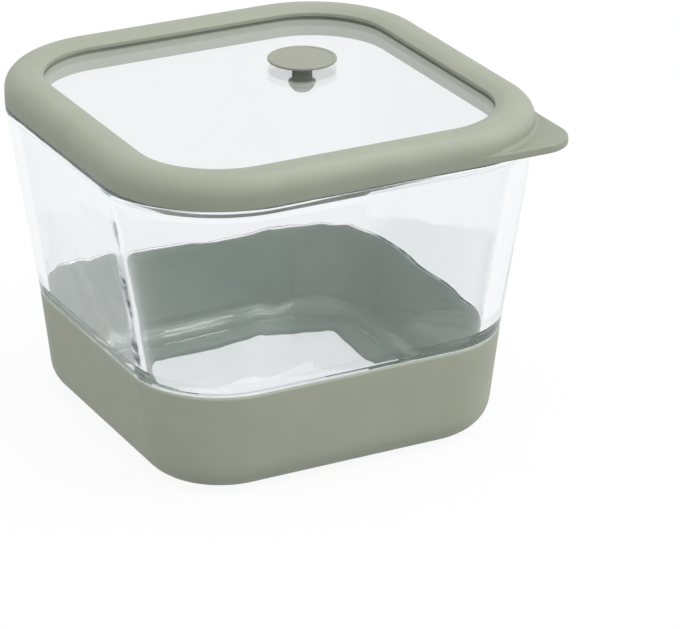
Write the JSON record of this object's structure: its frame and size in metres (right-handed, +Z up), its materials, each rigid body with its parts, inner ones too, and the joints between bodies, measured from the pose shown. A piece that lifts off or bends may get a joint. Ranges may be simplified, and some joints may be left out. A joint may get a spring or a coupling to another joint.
{
  "type": "food storage box",
  "caption": "Square glass food keeper with rounded corners, a silicone base sleeve, and a silicone-rimmed glass lid with a corner pull tab and a vent plug.",
  "frame": {"origin": "middle of the base sleeve's underside, on the surface the box stands on", "axes": "+Z up through the lid; X and Y square to the flat sides; the pull tab is at the +X, -Y corner"},
  "size_m": [0.16, 0.16, 0.1216],
  "materials": {
    "sleeve_silicone": "matt sage silicone",
    "lid_silicone": "matt sage silicone",
    "plug_silicone": "matt sage silicone",
    "tub_glass": "clear pressed glass, slightly wavy",
    "pane_glass": "clear flat glass with ground edges"
  },
  "bodies": {
    "sleeve": {"base_sleeve": "sleeve_silicone"},
    "tub": {"glass_tub": "tub_glass"},
    "lid": {"lid_rim": "lid_silicone", "lid_pane": "pane_glass"},
    "vent": {"vent_plug": "plug_silicone"}
  },
  "joints": [
    {"name": "tub_lift", "type": "slide", "parent": "sleeve", "child": "tub", "axis": [0, 0, 1], "range_m": [0, 0.045]},
    {"name": "lid_lift", "type": "slide", "parent": "tub", "child": "lid", "axis": [0, 0, 1], "range_m": [0, 0.04]},
    {"name": "vent_lift", "type": "slide", "parent": "lid", "child": "vent", "axis": [0, 0, 1], "range_m": [0, 0.0046]}
  ]
}
